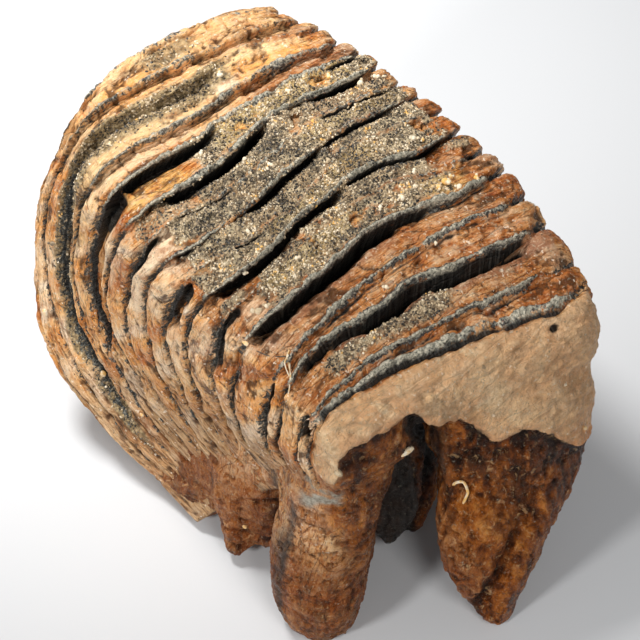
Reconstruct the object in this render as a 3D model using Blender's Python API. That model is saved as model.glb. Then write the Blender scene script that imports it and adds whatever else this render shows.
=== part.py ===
"""Fossil mammoth molar: one worn, ridged tooth standing on its broken roots.

Sizes are millimetres in the tooth's own frame until restMatrix turns them to metres:
+X is the worn front end, +Y the right side, +Z the chewing face.
"""
import math

import bmesh
import bpy
from mathutils import Matrix, Vector

# ---- driving dimensions -------------------------------------------------------------------

# The plates stand in a row from the front (number 0) to the heel. Each is a curved slice.
PLATE_NUMBER = (0, 2, 4, 6, 8)
BASE_X = (-6, -21, -38, -52, -64)          # where the slice meets the roots
BASE_Z = (-43, -51, -72, -91, -112)
LEAN = (92, 76, 72, 65, 58)                # degrees up from the heel end
HEIGHT = (35, 57, 86, 113, 137)
BOW = (-5, 12, 29, 37, 40)                 # backward bulge at mid height
HALF_TOP = (44, 46, 47, 45, 39)
HALF_MID = (45, 47, 48, 51, 63)
HALF_BASE = (40, 41, 43, 47, 55)
DOME = (2, 3, 2, 2, 9)                     # rise of the middle of the worn face
SWEEP = (3, 4, 2, 2, 1)                    # forward curl of the two ends of a ridge

# One half of a slice's outline, from the middle of the worn face down to the root:
# way round, share of the top, middle and base widths, share of the height and of the dome.
OUTLINE = (
    (0.00, 0.00, 0.00, 0.00, 1.00, 1.00),
    (0.20, 0.55, 0.00, 0.00, 1.00, 0.68),
    (0.36, 0.88, 0.00, 0.00, 0.97, 0.15),
    (0.46, 0.99, 0.00, 0.00, 0.90, 0.00),
    (0.56, 0.75, 0.25, 0.00, 0.78, 0.00),
    (0.75, 0.00, 1.00, 0.00, 0.45, 0.00),
    (1.00, 0.00, 0.00, 1.00, 0.00, 0.00),
)

LAST_PLATE = 7.35
PLATE_SAMPLES = (0.0, 0.07, 0.28, 0.50, 0.58, 0.78, 0.88, 0.95)
TOP_STEPS = 40                             # points over the worn face and both sides
UNDER_STEPS = 8                            # points across the underside
UNDER_DROP = (-6, -2, 5, 8, 4)             # how far the underside hangs below the slice's ends

# Height of the worn face through one plate, from its front ridge to the next one's.
WORN_RELIEF = (
    (0.00, 1.6), (0.07, 0.9), (0.28, -0.3), (0.50, 1.3),
    (0.58, -0.2), (0.78, -1.4), (0.88, -3.6), (0.95, -3.0), (1.00, 1.6),
)
SIDE_RELIEF = ((0.0, -0.9), (0.25, 0.9), (0.5, -0.7), (0.75, 0.8), (1.0, -0.9))
SIDE_STARTS = (0.32, 0.47)                 # way round the outline where the side takes over
LUMP_HEIGHT = 0.7
LUMP_SIZE = 14.0

FRONT_CAP = 9.0                            # cement in front of the first ridge
FRONT_SKEW = 0.02                          # share more of it for each mm to the right
HEEL_CAP = 7.0
CAP_RINGS = 5

# Roots: rings down each one as (x, y, z, half length, half width).
FRONT_RIGHT_ROOT = (
    (-10, 14, -16, 16, 24),
    (-6, 18, -28, 20, 26),
    (-2, 19, -40, 21, 26),
    (1, 19, -50, 20, 27),
    (5, 18, -58, 16, 26),
    (8, 14, -72, 16, 24),
    (13, 7, -88, 13, 18),
    (17, 1, -101, 9, 11),
    (20, -4, -110, 6, 6),
)
FRONT_LEFT_ROOT = (
    (-15, -28, -32, 17, 13),
    (-15, -32, -50, 16, 14),
    (-14, -37, -74, 15, 14),
    (-12, -40, -95, 12, 12),
    (-10, -42, -109, 7, 7),
)
MIDDLE_ROOT = (
    (-28, -8, -44, 14, 16),
    (-24, -8, -62, 12, 15),
    (-18, -9, -84, 9, 12),
    (-15, -9, -101, 4, 6),
)
LEFT_ROOTS = (
    ((-42, -34, -62, 9, 9), (-41, -38, -82, 8, 7), (-40, -41, -102, 6, 5)),
    ((-50, -37, -72, 9, 9), (-47, -44, -90, 7, 7), (-43, -49, -104, 4, 4)),
)
RIGHT_ROOTS = (
    ((-30, 30, -50, 12, 12), (-28, 33, -76, 10, 10), (-27, 34, -98, 6, 6)),
    ((-48, 32, -68, 12, 11), (-46, 35, -90, 9, 9), (-44, 36, -105, 5, 5)),
)
HEEL_STUMPS = tuple(
    ((-84, side * 26, -84, 15, 15), (-86, side * 26, -98, 13, 12), (-87, side * 26, -112, 11, 10))
    for side in (-1, 1)
)
ROOT_SIDES = 16
ROOT_STEP = 7.0                            # between the rings of a root
ROOT_WRINKLE = 0.04                        # share of the width
ROOT_LUMPS = 1.6                           # times the crown's lumps

# The tooth stands on the tips of its front roots and the stumps under its heel. The world
# origin is on the ground, under the middle of the box around it.
REST_SHIFT = (57.2, 0.0, 108.0)
GROUND_BOX = 400.0                         # side of the block that keeps what is above ground

MM = 0.001
COLOUR = (0.36, 0.22, 0.12, 1.0)
ROUGHNESS = 0.62


# ---- helpers ------------------------------------------------------------------------------

def spline(knots, values, at):
    """Smooth curve through values, flat beyond its two ends."""
    if at <= knots[0]:
        return values[0]
    if at >= knots[-1]:
        return values[-1]
    i = max(k for k in range(len(knots) - 1) if knots[k] <= at)
    lo, hi = max(i - 1, 0), min(i + 2, len(knots) - 1)
    span = knots[i + 1] - knots[i]
    t = (at - knots[i]) / span
    slope_a = (values[i + 1] - values[lo]) / (knots[i + 1] - knots[lo]) * span
    slope_b = (values[hi] - values[i]) / (knots[hi] - knots[i]) * span
    a, b = values[i], values[i + 1]
    return (a * (2 * t**3 - 3 * t**2 + 1) + slope_a * (t**3 - 2 * t**2 + t)
            + b * (3 * t**2 - 2 * t**3) + slope_b * (t**3 - t**2))


def along(table, at, column=1):
    """Read one column of a table by its first column."""
    return spline([row[0] for row in table], [row[column] for row in table], at)


def station(values, plate):
    return spline(PLATE_NUMBER, values, plate)


def smoothstep(low, high, at):
    t = min(max((at - low) / (high - low), 0.0), 1.0)
    return t * t * (3 - 2 * t)


# ---- the crown ----------------------------------------------------------------------------

def sliceOutline(plate, way):
    """Half width, height and dome of a slice at a way round it from -1 (left) to 1 (right)."""
    top, middle, base = (station(v, plate) for v in (HALF_TOP, HALF_MID, HALF_BASE))
    height = station(HEIGHT, plate)
    row = [along(OUTLINE, abs(way), column) for column in range(1, 6)]
    y = math.copysign(row[0] * top + row[1] * middle + row[2] * base, way)
    return y, row[3] * height, row[4] * station(DOME, plate)


def toSpace(plate, y, up, dome, forward=0.0):
    """A point of a slice in the tooth's frame."""
    lean = math.radians(station(LEAN, plate))
    share = min(max(up / station(HEIGHT, plate), 0.0), 1.0)
    bend = station(SWEEP, plate) * (y / 45) ** 2 - 4 * station(BOW, plate) * share * (1 - share)
    bend += forward
    rise = up + dome
    return Vector((
        station(BASE_X, plate) - math.cos(lean) * rise + math.sin(lean) * bend,
        y,
        station(BASE_Z, plate) + math.sin(lean) * rise + math.cos(lean) * bend,
    ))


def relief(plate, way):
    """How far the surface stands out at this plate and way round."""
    part_of_plate = plate % 1.0
    side = smoothstep(*SIDE_STARTS, abs(way))
    fade = 1.0 - smoothstep(0.86, 1.0, abs(way))
    worn = along(WORN_RELIEF, part_of_plate) * (1 - 0.6 * smoothstep(0.15, 0.4, abs(way)))
    rib = along(SIDE_RELIEF, part_of_plate) * fade
    return worn * (1 - side) + rib * side


def sliceRing(plate, shrink=1.0, forward=0.0, skew=0.0):
    """The closed ring round one slice: left base, worn face, right base, underside.

    shrink and forward draw the ring in and push it out, for the rounded ends of the row.
    """
    ways = [2 * i / TOP_STEPS - 1 for i in range(TOP_STEPS + 1)]
    flat = [sliceOutline(plate, way) for way in ways]
    points = []
    for i, (way, (y, up, dome)) in enumerate(zip(ways, flat)):
        before, after = flat[max(i - 1, 0)], flat[min(i + 1, TOP_STEPS)]
        run = Vector((after[0] - before[0], after[1] + after[2] - before[1] - before[2]))
        out = Vector((-run.y, run.x)).normalized() * relief(plate, way)
        points.append((y + out.x, up + out.y, dome))
    base = station(HALF_BASE, plate)
    for i in range(1, UNDER_STEPS):
        turn = math.pi * i / UNDER_STEPS
        points.append((base * math.cos(turn), 0.0, -station(UNDER_DROP, plate) * math.sin(turn)))
    centre = station(HEIGHT, plate) / 2
    ring = []
    for y, up, dome in points:
        push = forward * max(1 + skew * y * shrink, 0.1)
        ring.append(toSpace(plate, y * shrink, centre + (up - centre) * shrink, dome * shrink, push))
    return [point + lump(point) for point in ring]


def lump(point):
    """A soft uneven push, from waves that cross each other and don't repeat nearby."""
    x, y, z = point / LUMP_SIZE
    return LUMP_HEIGHT * Vector((
        math.sin(1.9 * y + 0.7 * z) * math.cos(1.3 * x - 0.4),
        math.sin(1.7 * z + 0.9 * x + 1.1) * math.cos(1.1 * y),
        math.sin(1.6 * x + 1.2 * y + 2.3) * math.cos(0.9 * z + 0.6),
    ))


def capRings(plate, thickness, skew=0.0):
    """Rings that round off one end of the row."""
    rings = []
    for i in range(1, CAP_RINGS + 1):
        turn = math.pi / 2 * i / CAP_RINGS
        shrink = max(math.cos(turn), 0.02) ** 0.5
        rings.append(sliceRing(plate, shrink, thickness * math.sin(turn), skew))
    return rings


def loft(mesh_name, rings):
    """A closed mesh through rings that all have the same number of points."""
    bm = bmesh.new()
    rows = [[bm.verts.new(point) for point in ring] for ring in rings]
    sides = len(rings[0])
    for row, following in zip(rows, rows[1:]):
        for i in range(sides):
            j = (i + 1) % sides
            bm.faces.new((row[i], row[j], following[j], following[i]))
    bm.faces.new(list(reversed(rows[0])))
    bm.faces.new(rows[-1])
    bmesh.ops.recalc_face_normals(bm, faces=bm.faces)
    bmesh.ops.triangulate(bm, faces=bm.faces)
    mesh = bpy.data.meshes.new(mesh_name)
    bm.to_mesh(mesh)
    bm.free()
    return mesh


def crownMesh():
    plates = [n + f for n in range(8) for f in PLATE_SAMPLES if n + f < LAST_PLATE]
    rings = [sliceRing(plate) for plate in plates]
    front = capRings(plates[0], FRONT_CAP, FRONT_SKEW)
    heel = capRings(plates[-1], -HEEL_CAP)
    return loft("crown", list(reversed(front)) + rings + heel)


# ---- the roots ----------------------------------------------------------------------------

def rootRing(x, y, z, half_length, half_width):
    ring = []
    for i in range(ROOT_SIDES):
        angle = 2 * math.pi * i / ROOT_SIDES
        ring.append(Vector((x + half_length * math.cos(angle), y + half_width * math.sin(angle), z)))
    return ring


def rootMesh(name, table):
    """A root that tapers through its rings, with shallow wrinkles across it."""
    down = [row[2] for row in table]
    length = down[0] - down[-1]
    steps = max(round(length / ROOT_STEP), 4)
    knots = [(down[0] - z) / length for z in down]
    rings = []
    for i in range(steps + 1):
        at = i / steps
        row = [spline(knots, [entry[column] for entry in table], at) for column in range(5)]
        wrinkle = 1 + ROOT_WRINKLE * math.sin(2.4 * i)
        ring = rootRing(row[0], row[1], row[2], row[3] * wrinkle, row[4] * wrinkle)
        rings.append([point + lump(point) * ROOT_LUMPS for point in ring])
    return loft(name, rings)


# ---- the object ---------------------------------------------------------------------------

def restMatrix():
    """Tooth frame in millimetres to the world in metres, standing at rest."""
    return Matrix.Scale(MM, 4) @ Matrix.Translation(REST_SHIFT)


def toothMaterial():
    material = bpy.data.materials.new("fossil tooth")
    material.use_nodes = True
    shader = material.node_tree.nodes["Principled BSDF"]
    shader.inputs["Base Color"].default_value = COLOUR
    shader.inputs["Roughness"].default_value = ROUGHNESS
    shader.inputs["Metallic"].default_value = 0.0
    return material


def addObject(name, mesh, collection):
    mesh.transform(restMatrix())
    thing = bpy.data.objects.new(name, mesh)
    collection.objects.link(thing)
    return thing


def hideTool(thing):
    thing.hide_render = True
    thing.display_type = "WIRE"


def combine(target, tool, operation):
    modifier = target.modifiers.new(tool.name, "BOOLEAN")
    modifier.operation = operation
    modifier.solver = "EXACT"
    modifier.object = tool


def groundBox(collection):
    """The half space above the ground, which trims the standing tips flat."""
    size = GROUND_BOX * MM
    bpy.ops.mesh.primitive_cube_add(size=size, location=(0, 0, size / 2))
    box = bpy.context.object
    box.name = "above ground"
    for owner in box.users_collection:
        owner.objects.unlink(box)
    collection.objects.link(box)
    hideTool(box)
    return box


def clearScene():
    for thing in list(bpy.data.objects):
        bpy.data.objects.remove(thing, do_unlink=True)


def main():
    clearScene()
    parts = bpy.data.collections.new("fossil mammoth tooth")
    tools = bpy.data.collections.new("cutters")
    bpy.context.scene.collection.children.link(parts)
    bpy.context.scene.collection.children.link(tools)

    tooth = addObject("tooth", crownMesh(), parts)
    tooth.data.materials.append(toothMaterial())
    tables = [FRONT_RIGHT_ROOT, FRONT_LEFT_ROOT, MIDDLE_ROOT, *LEFT_ROOTS, *RIGHT_ROOTS,
              *HEEL_STUMPS]
    for number, table in enumerate(tables, 1):
        root = addObject(f"root {number}", rootMesh(f"root {number}", table), tools)
        hideTool(root)
        combine(tooth, root, "UNION")
    combine(tooth, groundBox(tools), "INTERSECT")


main()
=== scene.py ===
import math

import bmesh
import bpy
import numpy as np
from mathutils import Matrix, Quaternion, Vector
from mathutils.bvhtree import BVHTree


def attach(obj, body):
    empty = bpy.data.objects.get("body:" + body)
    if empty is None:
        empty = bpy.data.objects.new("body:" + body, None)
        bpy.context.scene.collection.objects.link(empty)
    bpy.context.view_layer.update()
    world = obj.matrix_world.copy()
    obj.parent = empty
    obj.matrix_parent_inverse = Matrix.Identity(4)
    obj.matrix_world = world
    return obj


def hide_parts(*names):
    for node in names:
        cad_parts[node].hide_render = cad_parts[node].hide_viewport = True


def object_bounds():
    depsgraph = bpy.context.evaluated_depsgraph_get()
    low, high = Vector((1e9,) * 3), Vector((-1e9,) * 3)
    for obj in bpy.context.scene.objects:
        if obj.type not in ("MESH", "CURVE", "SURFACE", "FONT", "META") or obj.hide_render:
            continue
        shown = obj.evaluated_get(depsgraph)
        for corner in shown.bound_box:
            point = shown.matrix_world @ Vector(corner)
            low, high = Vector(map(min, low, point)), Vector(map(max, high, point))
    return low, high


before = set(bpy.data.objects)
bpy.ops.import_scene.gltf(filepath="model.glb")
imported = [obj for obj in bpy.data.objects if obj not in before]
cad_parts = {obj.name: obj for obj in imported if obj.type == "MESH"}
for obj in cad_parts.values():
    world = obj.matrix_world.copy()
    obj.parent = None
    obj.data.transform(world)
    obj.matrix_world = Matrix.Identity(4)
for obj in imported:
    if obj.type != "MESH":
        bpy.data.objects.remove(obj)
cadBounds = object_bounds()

# The crown is a row of upright plates. A place on it is a pair: how far along the row in
# plates (0 at the worn front, 7.5 at the heel), and the way round a plate, from -1 at the
# foot of the left side over the worn face at 0 to 1 at the foot of the right side.
# Lengths are millimetres in the tooth's own frame until toWorld makes them metres.
mm = 0.001
restShift = np.array((57.2, 0.0, 108.0))

crownShape = {
    "stations": (0, 2, 4, 6, 8),      # plates at which the next rows give the crown's form
    "baseX": (-6, -21, -38, -52, -64),
    "baseZ": (-43, -51, -72, -91, -112),
    "lean": (92, 76, 72, 65, 58),
    "height": (35, 57, 86, 113, 137),
    "bow": (-5, 12, 29, 37, 40),
    "halfTop": (44, 46, 47, 45, 39),
    "halfMiddle": (45, 47, 48, 51, 63),
    "halfBase": (40, 41, 43, 47, 55),
    "dome": (2, 3, 2, 2, 9),
    "sweep": (3, 4, 2, 2, 1),
    "frontCap": 9.0,
    "frontSkew": 0.02,
    "heelCap": 7.0,
    "lastPlate": 7.28,
}

# One half of a plate's outline: way round, shares of the three half widths, of the height and of the dome.
outlineRows = np.array((
    (0.00, 0.00, 0.00, 0.00, 1.00, 1.00),
    (0.20, 0.55, 0.00, 0.00, 1.00, 0.68),
    (0.36, 0.88, 0.00, 0.00, 0.97, 0.15),
    (0.46, 0.99, 0.00, 0.00, 0.90, 0.00),
    (0.56, 0.75, 0.25, 0.00, 0.78, 0.00),
    (0.75, 0.00, 1.00, 0.00, 0.45, 0.00),
    (1.00, 0.00, 0.00, 1.00, 0.00, 0.00),
))


def curve(knots, values, at):  # smooth curve through values
    knots, values = np.asarray(knots, float), np.asarray(values, float)
    at = np.clip(at, knots[0], knots[-1])
    i = np.clip(np.searchsorted(knots, at, side="right") - 1, 0, len(knots) - 2)
    low, high = np.maximum(i - 1, 0), np.minimum(i + 2, len(knots) - 1)
    span = knots[i + 1] - knots[i]
    t = (at - knots[i]) / span
    slopeA = (values[i + 1] - values[low]) / (knots[i + 1] - knots[low]) * span
    slopeB = (values[high] - values[i]) / (knots[high] - knots[i]) * span
    return (values[i] * (2 * t**3 - 3 * t**2 + 1) + slopeA * (t**3 - 2 * t**2 + t)
            + values[i + 1] * (3 * t**2 - 2 * t**3) + slopeB * (t**3 - t**2))


def station(name, plate):
    return curve(crownShape["stations"], crownShape[name], plate)


def smooth(low, high, at):
    t = np.clip((at - low) / (high - low), 0, 1)
    return t * t * (3 - 2 * t)


def lattice(points, seed):  # value noise from -1 to 1
    cell = np.floor(points).astype(np.int64)
    f = points - cell
    f = f * f * (3 - 2 * f)
    total = 0
    for corner in range(8):
        step = (corner & 1, corner >> 1 & 1, corner >> 2 & 1)
        n = ((cell[..., 0] + step[0]) * 73856093 ^ (cell[..., 1] + step[1]) * 19349663
             ^ (cell[..., 2] + step[2]) * 83492791 ^ (seed + 11) * 2654435761) & 0x7fffffff
        n = (n ^ n >> 13) * 1274126177 & 0x7fffffff
        n = (n ^ n >> 16) & 0xffff
        weight = 1.0
        for axis in range(3):
            weight = weight * (f[..., axis] if step[axis] else 1 - f[..., axis])
        total = total + weight * (n / 32767.5 - 1)
    return total


def noise(points, size, seed=0, octaves=3, rough=0.5):
    total, share, whole = 0, 1.0, 0.0
    for octave in range(octaves):
        total = total + share * lattice(points / size * 2**octave + 17.3 * octave, seed + octave)
        whole += share
        share *= rough
    return total / whole


def toSpace(plate, y, up, dome, forward):
    lean = np.radians(station("lean", plate))
    share = np.clip(up / station("height", plate), 0, 1)
    bend = station("sweep", plate) * (y / 45) ** 2 - 4 * station("bow", plate) * share * (1 - share) + forward
    rise = up + dome
    return np.stack((
        station("baseX", plate) - np.cos(lean) * rise + np.sin(lean) * bend,
        y + 0 * rise,
        station("baseZ", plate) + np.sin(lean) * rise + np.cos(lean) * bend), -1)


def lump(points):
    x, y, z = np.moveaxis(points / 14.0, -1, 0)
    return 0.7 * np.stack((
        np.sin(1.9 * y + 0.7 * z) * np.cos(1.3 * x - 0.4),
        np.sin(1.7 * z + 0.9 * x + 1.1) * np.cos(1.1 * y),
        np.sin(1.6 * x + 1.2 * y + 2.3) * np.cos(0.9 * z + 0.6)), -1)


def flatOutline(plate, way):
    row = [curve(outlineRows[:, 0], outlineRows[:, c], np.abs(way)) for c in range(1, 6)]
    y = np.sign(way) * (row[0] * station("halfTop", plate) + row[1] * station("halfMiddle", plate)
                        + row[2] * station("halfBase", plate))
    return y, row[3] * station("height", plate), row[4] * station("dome", plate)


# A point of the crown, raised by out and pushed forward. Beyond the row's ends it follows the caps.
def crownPoint(plate, way, out=0.0, forward=0.0):
    inside = np.clip(plate, 0, crownShape["lastPlate"])
    ahead = np.clip(-plate / 0.5, 0, 1)
    behind = np.clip((plate - crownShape["lastPlate"]) / 0.5, 0, 1)
    shrink = np.maximum(np.cos(np.arcsin(np.maximum(ahead, behind))), 0.02) ** 0.5
    y, up, dome = flatOutline(inside, way)
    before, after = flatOutline(inside, way - 0.004), flatOutline(inside, way + 0.004)
    runY, runUp = after[0] - before[0], after[1] + after[2] - before[1] - before[2]
    length = np.hypot(runY, runUp)
    y, up = y - runUp / length * out, up + runY / length * out
    centre = station("height", inside) / 2
    push = crownShape["frontCap"] * ahead * np.maximum(1 + crownShape["frontSkew"] * y * shrink, 0.1)
    push = push - crownShape["heelCap"] * behind + forward
    point = toSpace(inside, y * shrink, centre + (up - centre) * shrink, dome * shrink, push)
    return point + lump(point)


# Sixteen enamel ridges cross the worn face. Each row is one ridge's place along the row of plates
# at these ways round the tooth.
ridgeWays = (-1.0, -0.9, -0.8, -0.7, -0.6, -0.5, -0.4, -0.3, -0.2, -0.1, 0.0, 0.1, 0.2, 0.3, 0.45, 1.0)
ridgePlaces = (
    (0.45, 0.50, 0.55, 0.60, 0.55, 0.50, 0.44, 0.42, 0.30, 0.05, -0.08, -0.14, -0.18, -0.20, -0.10, 0.00),
    (0.80, 0.85, 0.85, 0.80, 0.75, 0.66, 0.54, 0.53, 0.48, 0.36, 0.24, 0.15, 0.10, 0.10, 0.20, 0.40),
    (1.45, 1.50, 1.35, 1.22, 1.18, 1.13, 1.09, 1.16, 1.12, 1.08, 1.06, 0.88, 0.86, 0.92, 1.00, 1.00),
    (2.00, 1.90, 1.62, 1.50, 1.42, 1.36, 1.31, 1.34, 1.39, 1.46, 1.42, 1.41, 1.42, 1.44, 1.50, 1.50),
    (2.80, 2.80, 2.30, 2.10, 2.04, 2.03, 2.01, 1.97, 1.98, 2.03, 2.09, 2.00, 1.89, 1.99, 2.05, 2.00),
    (3.10, 3.20, 2.65, 2.45, 2.44, 2.50, 2.53, 2.48, 2.51, 2.61, 2.63, 2.60, 2.47, 2.49, 2.50, 2.50),
    (3.60, 3.70, 3.20, 2.95, 2.94, 2.99, 3.02, 2.94, 2.88, 3.00, 3.10, 3.20, 2.98, 3.02, 3.05, 3.00),
    (3.95, 4.00, 3.62, 3.48, 3.38, 3.38, 3.48, 3.48, 3.27, 3.22, 3.47, 3.74, 3.65, 3.60, 3.55, 3.50),
    (4.30, 4.45, 4.10, 3.92, 3.90, 3.92, 3.98, 3.88, 3.80, 3.80, 4.02, 4.13, 4.04, 4.05, 4.05, 4.00),
    (4.85, 4.95, 4.60, 4.55, 4.44, 4.32, 4.46, 4.49, 4.28, 4.22, 4.42, 4.55, 4.45, 4.40, 4.45, 4.50),
    (5.35, 5.50, 5.10, 5.06, 5.08, 4.88, 4.88, 4.90, 4.80, 4.82, 4.98, 5.00, 4.90, 4.93, 4.98, 5.00),
    (5.85, 6.00, 5.72, 5.62, 5.62, 5.54, 5.50, 5.49, 5.44, 5.43, 5.39, 5.38, 5.38, 5.30, 5.40, 5.50),
    (6.20, 6.35, 6.05, 5.98, 6.02, 6.08, 5.98, 5.93, 5.88, 5.81, 5.76, 5.77, 5.78, 5.76, 5.90, 6.00),
    (6.60, 6.65, 6.48, 6.42, 6.42, 6.60, 6.72, 6.70, 6.56, 6.42, 6.38, 6.40, 6.30, 6.25, 6.35, 6.50),
    (6.95, 6.95, 6.80, 6.84, 6.96, 7.06, 7.10, 7.04, 6.92, 6.79, 6.72, 6.68, 6.63, 6.64, 6.75, 6.90),
    (7.30, 7.30, 7.26, 7.24, 7.30, 7.32, 7.30, 7.30, 7.30, 7.28, 7.26, 7.22, 7.08, 7.05, 7.15, 7.25),
)

# How strongly each ridge shows, from the front.
ridgeStrength = (1.1, 0.9, 1.1, 0.9, 1.1, 0.5, 1.0, 0.6, 0.9, 0.6, 1.0, 1.1, 0.65, 0.35, 0.5, 0.6)

# Open cracks in front of ridges: ridge number, from and to way, depth and width.
openCracks = (
    (2, -0.36, -0.10, 2.4, 2.2), (2, -0.16, 0.33, 7.5, 4.2),
    (4, -0.44, 0.10, 7.5, 4.2), (4, 0.04, 0.17, 3.8, 2.6),
    (6, -0.40, 0.05, 7.5, 4.2), (6, 0.02, 0.34, 3.0, 2.4),
    (7, -0.62, -0.40, 6.0, 5.0), (7, -0.30, -0.15, 2.0, 1.4),
    (8, -0.41, -0.30, 2.2, 1.8), (8, -0.18, 0.08, 6.5, 4.0), (8, 0.04, 0.28, 4.5, 2.8),
    (9, -0.68, -0.36, 3.5, 2.4), (9, -0.34, -0.12, 2.0, 1.4), (9, 0.08, 0.32, 2.6, 1.8),
    (10, -0.32, 0.03, 7.5, 4.8), (10, 0.11, 0.33, 5.0, 3.0),
    (11, -0.78, -0.34, 7.5, 8.0), (11, -0.38, -0.06, 6.5, 4.6), (11, 0.20, 0.34, 3.2, 2.2),
    (13, -0.90, -0.48, 3.5, 6.0), (13, -0.55, 0.04, 2.8, 6.0),
    (1, -0.66, -0.44, 4.5, 2.6), (3, -0.84, -0.45, 2.4, 1.8), (5, -0.66, -0.34, 3.0, 3.4),
    (3, -0.10, 0.10, 1.2, 1.2), (15, -0.10, 0.10, 1.4, 1.6),
)

# Patches of other stuff, by kind: first and last ridge number, from and to way, strength.
patches = {
    "sand": (
        (1.25, 1.62, -0.29, 0.05, 0.9), (4.15, 5.0, -0.27, 0.16, 1.0), (4.2, 4.9, 0.10, 0.24, 0.8),
        (5.0, 5.35, -0.40, 0.0, 0.8), (5.1, 5.95, -0.14, 0.22, 0.9), (5.5, 5.8, 0.29, 0.37, 0.8),
        (6.1, 7.0, -0.39, 0.34, 1.0), (7.05, 7.95, -0.37, 0.32, 1.0), (8.1, 9.0, -0.36, 0.34, 1.0),
        (9.1, 9.95, -0.22, 0.12, 1.0), (9.15, 9.6, 0.12, 0.34, 0.8), (10.1, 11.0, -0.16, 0.36, 1.0),
        (9.1, 9.9, -0.42, -0.25, 0.5),
    ),
    "grey": (
        (7.0, 8.0, 0.02, 0.34, 0.8), (5.0, 6.1, 0.0, 0.12, 0.5), (6.05, 7.0, -0.40, -0.30, 0.5),
        (8.2, 9.0, -0.30, -0.05, 0.7), (9.2, 9.9, -0.20, 0.10, 0.6),
    ),
    "mauve": (
        (1.5, 2.0, -0.25, 0.40, 0.9), (3.4, 4.0, -0.38, 0.05, 0.8), (5.4, 6.0, -0.38, 0.0, 0.8),
        (7.6, 8.0, -0.18, -0.02, 0.7),
    ),
    "rust": (
        (7.8, 8.0, 0.03, 0.30, 0.8), (9.5, 10.0, 0.10, 0.30, 1.0), (11.1, 12.0, 0.05, 0.36, 0.7),
        (12.9, 13.6, 0.10, 0.34, 0.7), (3.1, 4.0, 0.0, 0.35, 0.5), (0.1, 6.0, -0.45, 0.45, 0.5),
        (5.0, 5.3, -0.6, -0.4, 0.6), (3.4, 4.2, -0.75, -0.5, 0.4),
    ),
    "ochre": (
        (10.05, 10.9, -0.40, -0.20, 0.9), (10.1, 10.9, -0.02, 0.12, 0.5), (4.1, 4.8, 0.17, 0.26, 0.8),
        (10.0, 11.1, -0.10, 0.26, 0.9), (4.5, 5.0, -0.25, 0.0, 0.6), (6.3, 6.9, -0.15, 0.15, 0.5),
        (8.3, 8.9, 0.05, 0.30, 0.5),
    ),
    "orange": (
        (12.1, 12.6, 0.05, 0.25, 1.0), (14.1, 14.6, -0.22, -0.08, 0.9), (13.4, 13.9, -0.30, 0.0, 0.5),
    ),
    "golden": (
        (12.0, 13.0, -0.55, 0.20, 1.0), (12.5, 13.0, 0.05, 0.28, 0.7), (14.1, 15.0, 0.0, 0.28, 0.6),
        (11.3, 12.3, -0.60, -0.05, 0.6), (13.0, 15.5, -0.45, 0.30, 0.7),
        (10.6, 12.0, -0.05, 0.20, 0.5),
    ),
    "dirt": (
        (12.35, 13.15, -0.54, 0.04, 0.95), (12.3, 13.2, -0.90, -0.46, 0.95),
        (14.3, 14.9, -0.10, 0.03, 0.7),
    ),
    "pale": (
        (12.0, 12.4, -0.01, 0.05, 1.0), (8.1, 9.0, -0.66, -0.36, 1.0), (9.4, 10.0, -0.62, -0.45, 0.4),
        (6.2, 6.8, -0.72, -0.48, 0.5), (7.1, 7.7, -0.60, -0.40, 0.5), (10.1, 10.8, -0.66, -0.47, 0.7),
        (4.2, 4.8, -0.38, -0.28, 0.5), (5.0, 5.6, -0.56, -0.46, 0.4), (11.2, 12.0, -0.45, -0.1, 0.4),
    ),
}


crownDetail = {
    "plateStep": 17.0,        # millimetres from plate to plate
    "faceArc": 105.0,         # millimetres for one unit of way across the worn face
    "crestHeight": 0.95,
    "crestWidth": 0.80,
    "beadSize": 1.4,
    "ribHeight": 2.0,
    "waver": 0.050,           # how far the ridges stray, in plates
    "rough": 0.55,
    "coarse": 11.0,           # sizes of the three grades of relief
    "middle": 3.2,
    "fine": 1.1,
    "dustyRidge": 13,         # the slope in front of this ridge is open and dusty, and gets no painted black shade
    "underPoints": 6,         # points across each plate's hidden foot
    "plates": 8,
    "frontRidge": -0.085,     # the first plate starts here, in ridge numbers
    "plateEnd": 1.915,        # and each plate ends this far on from its first ridge
}


def ridgeLines(ways):  # each ridge's place along the row, with a fine waver, at these ways
    lines = []
    for number, row in enumerate(ridgePlaces):
        line = curve(ridgeWays, row, ways)
        at = np.stack((ways * crownDetail["faceArc"], np.full_like(ways, number * 31.0), 0 * ways), -1)
        waver = noise(at, 7.0, 40, 3, 0.6) + 0.35 * noise(at, 1.8, 50, 2, 0.6)
        lines.append(line + crownDetail["waver"] * waver)
    return np.array(lines)


def patchMask(kind, ridge, way, wobble):
    mask = np.zeros_like(ridge)
    r = ridge + 0.30 * wobble[0]
    w = way + 0.055 * wobble[1]
    for first, last, left, right, strength in patches[kind]:
        edge = smooth(first - 0.08, first + 0.08, r) * (1 - smooth(last - 0.08, last + 0.08, r))
        edge = edge * smooth(left - 0.015, left + 0.015, w) * (1 - smooth(right - 0.015, right + 0.015, w))
        mask = np.maximum(mask, strength * edge)
    return mask


def alongRidge(way, number):  # a line of noise coordinates that belongs to one ridge
    return np.stack((way * crownDetail["faceArc"], 0 * way + number * 9.0, 0 * way), -1)


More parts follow.
